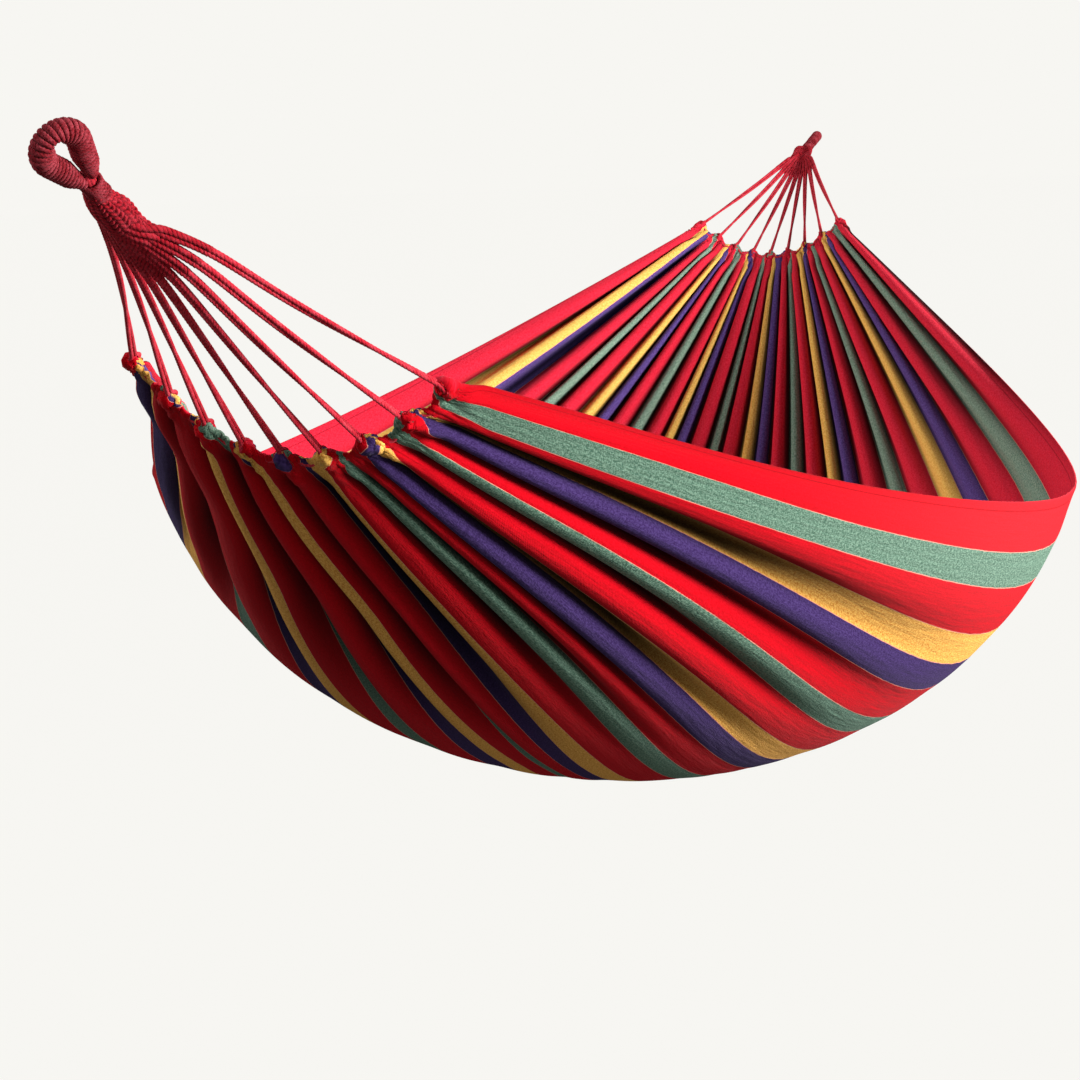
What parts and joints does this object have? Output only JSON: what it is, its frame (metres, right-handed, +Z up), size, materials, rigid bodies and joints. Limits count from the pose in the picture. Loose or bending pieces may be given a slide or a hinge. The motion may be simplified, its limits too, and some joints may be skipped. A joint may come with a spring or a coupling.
{
  "type": "hammock",
  "caption": "Striped cotton canvas hammock, hung open, with doubled red cords at each end that run to a plait, a whipped neck and a bound rope eye.",
  "frame": {"origin": "point where a hook bears inside the near eye, the end with the steeper cords", "axes": "+X level towards the far eye, +Y across the bed, +Z up"},
  "size_m": [2.3126, 1.0382, 0.7743],
  "materials": {
    "canvas": "plain woven cotton, matt",
    "cord": "twisted cotton, matt",
    "plait": "plaited cotton, matt",
    "binding": "wound cotton, matt"
  },
  "bodies": {
    "near_eye": {"near_eye_core": "cord", "near_eye_binding": "binding", "near_neck_whipping": "binding"},
    "bed": {"canvas_bed": "canvas", "near_drawcord": "cord", "near_cord_1": "cord", "near_cord_2": "cord", "near_cord_3": "cord", "near_cord_4": "cord", "near_cord_5": "cord", "near_cord_6": "cord", "near_cord_7": "cord", "near_cord_8": "cord", "near_cord_9": "cord", "near_plait": "plait", "far_drawcord": "cord", "far_cord_1": "cord", "far_cord_2": "cord", "far_cord_3": "cord", "far_cord_4": "cord", "far_cord_5": "cord", "far_cord_6": "cord", "far_cord_7": "cord", "far_cord_8": "cord", "far_cord_9": "cord", "far_plait": "plait"},
    "far_eye": {"far_eye_core": "cord", "far_eye_binding": "binding", "far_neck_whipping": "binding"}
  },
  "joints": [
    {"name": "swing", "type": "hinge", "parent": "near_eye", "child": "bed", "pos_m": [0.05356, 0, -0.03665], "axis": [1, 0, 0], "range_deg": [-35, 35]},
    {"name": "far_neck", "type": "hinge", "parent": "bed", "child": "far_eye", "pos_m": [2.21956, 0, -0.03665], "axis": [1, 0, 0], "range_deg": [-35, 35]}
  ],
  "couplings": [
    {"joint": "far_neck", "follows": "swing", "ratio": -1}
  ]
}
